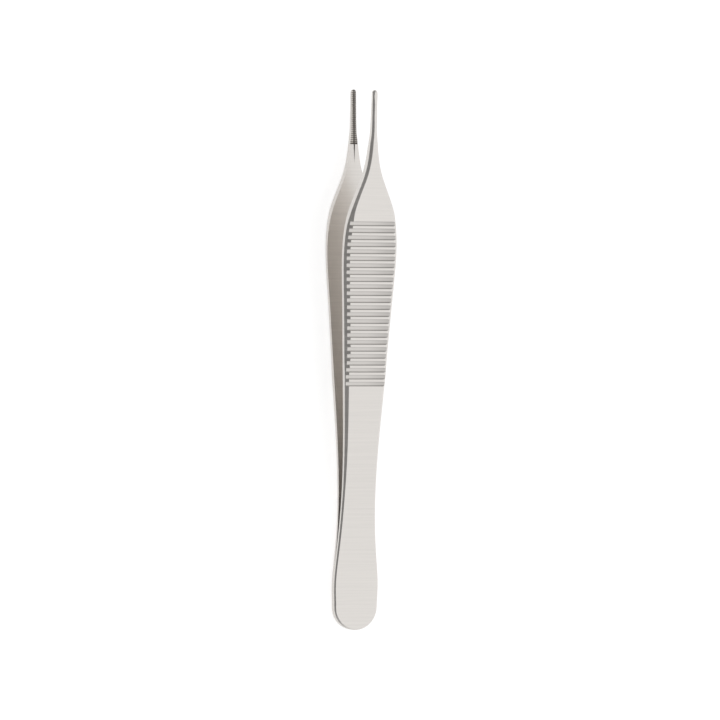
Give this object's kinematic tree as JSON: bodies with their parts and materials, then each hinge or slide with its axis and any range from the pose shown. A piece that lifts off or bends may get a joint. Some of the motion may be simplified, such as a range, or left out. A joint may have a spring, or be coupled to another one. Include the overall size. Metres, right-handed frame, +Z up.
{
  "type": "thumb forceps",
  "caption": "Narrow-tipped thumb forceps: two sprung steel arms joined at a rounded heel, with fluted grips and fine toothed jaws.",
  "frame": {"origin": "on the ground, under the centre of the whole, with the forceps lying on the lower arm's heel and grip", "axes": "+Y along the instrument from the heel to the tips, +X across the arms, +Z up from the lower arm to the upper arm"},
  "size_m": [0.0126, 0.1202, 0.0157],
  "materials": {
    "upper_arm": "satin stainless steel",
    "lower_arm": "satin stainless steel"
  },
  "bodies": {
    "root": {"upper_arm": "upper_arm", "lower_arm": "lower_arm"}
  },
  "joints": []
}
